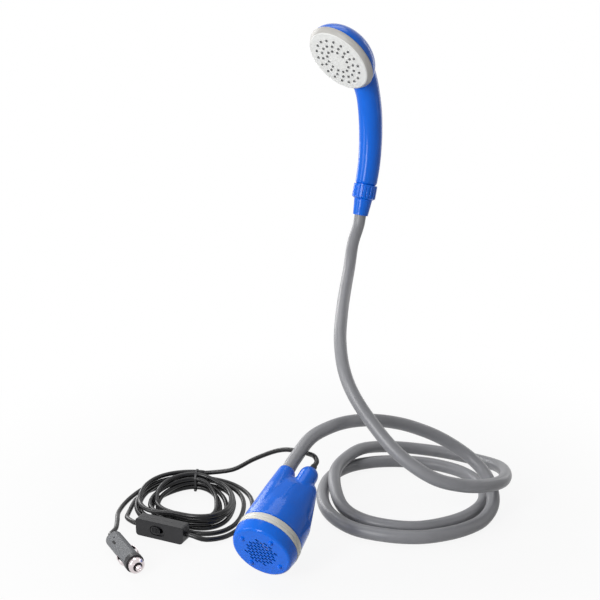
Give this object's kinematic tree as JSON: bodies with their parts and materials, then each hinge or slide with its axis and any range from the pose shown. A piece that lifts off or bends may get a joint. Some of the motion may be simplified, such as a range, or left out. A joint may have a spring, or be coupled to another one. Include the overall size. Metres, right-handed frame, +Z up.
{
  "type": "camp shower pump",
  "caption": "Portable camp shower: submersible pump with hose and hand shower, fed by a coiled cable with an in-line slide switch and a vehicle socket plug.",
  "frame": {"origin": "on the floor, under the middle of the box round the pump and the hand shower", "axes": "+Z up, +Y away from the viewer of the picture, +X to the viewer's right"},
  "size_m": [0.4304, 0.374, 0.5094],
  "materials": {
    "blue": "glossy moulded plastic",
    "cream": "satin moulded plastic",
    "hose": "smooth flexible tube",
    "spray": "satin moulded plastic",
    "cable": "sheen of a soft cable jacket",
    "seal": "matt",
    "dark": "fine grain",
    "plug": "coarse grain",
    "chrome": "polished",
    "steel": "turned",
    "brass": "plain",
    "copper": "lacquered wire",
    "magnet": "sintered",
    "fuse": "clear tube",
    "lead": "wire insulation",
    "nylon": "plain"
  },
  "bodies": {
    "kit": {"pump_shell": "blue", "trim_band": "cream", "suction_plate": "dark", "volute": "dark", "volute_screws": "steel", "outlet_pipe": "dark", "shaft_seal": "seal", "motor_can": "steel", "motor_magnets": "magnet", "motor_end_bell": "nylon", "motor_brushes": "brass", "shaft_bushes": "brass", "motor_leads": "lead", "cable_gland": "seal", "hose_arch": "hose", "hose_loops": "hose", "hose_rise": "hose", "handset_body": "blue", "spray_face": "spray", "face_seal": "seal", "cable_pump_lead": "cable", "cable_coil": "cable", "coil_tie": "dark", "cable_switch_lead": "cable", "cable_plug_lead": "cable", "switch_base": "dark", "switch_cover": "dark", "switch_contacts": "brass", "switch_screws": "steel", "plug_half_upper": "plug", "plug_half_lower": "plug", "plug_collar": "dark", "plug_nose_ring": "chrome", "plug_spring": "steel", "plug_fuse": "fuse", "plug_tail": "seal", "plug_screw": "steel"},
    "rotor": {"motor_shaft": "steel", "armature_core": "steel", "armature_windings": "copper", "commutator": "copper", "impeller": "nylon"},
    "cap": {"intake_cap": "blue", "cap_seal": "seal"},
    "nut": {"hose_nut": "blue"},
    "slider": {"switch_slider": "dark"},
    "tip": {"plug_tip": "chrome"},
    "contact_left": {"plug_contact_left": "chrome"},
    "contact_right": {"plug_contact_right": "chrome"}
  },
  "joints": [
    {"name": "impeller_spin", "type": "hinge", "parent": "kit", "child": "rotor", "pos_m": [-0.054, -0.17, 0.02831], "axis": [0.4119, 0.8446, 0.342], "continuous": true},
    {"name": "cap_twist", "type": "hinge", "parent": "kit", "child": "cap", "pos_m": [-0.054, -0.17, 0.02831], "axis": [0.4119, 0.8446, 0.342], "range_deg": [0, 22]},
    {"name": "hose_nut_turn", "type": "hinge", "parent": "kit", "child": "nut", "pos_m": [0.06159, 0.17058, 0.324], "axis": [-0.1722, -0.1551, -0.9728], "range_deg": [0, 270]},
    {"name": "switch_slide", "type": "slide", "parent": "kit", "child": "slider", "axis": [0.9157, -0.4019, 0], "range_m": [0, 0.005]},
    {"name": "plug_tip_press", "type": "slide", "parent": "kit", "child": "tip", "axis": [-0.515, 0.8572, 0], "range_m": [0, 0.003], "stiffness_N_per_m": 900, "springref_m": -0.002, "deforming": ["plug_spring"]},
    {"name": "contact_left_press", "type": "slide", "parent": "kit", "child": "contact_left", "axis": [0.7769, 0.4668, 0.4226], "range_m": [0, 0.0012], "stiffness_N_per_m": 1500, "springref_m": -0.0004},
    {"name": "contact_right_press", "type": "slide", "parent": "kit", "child": "contact_right", "axis": [-0.7769, -0.4668, -0.4226], "range_m": [0, 0.0012], "stiffness_N_per_m": 1500, "springref_m": -0.0004}
  ]
}
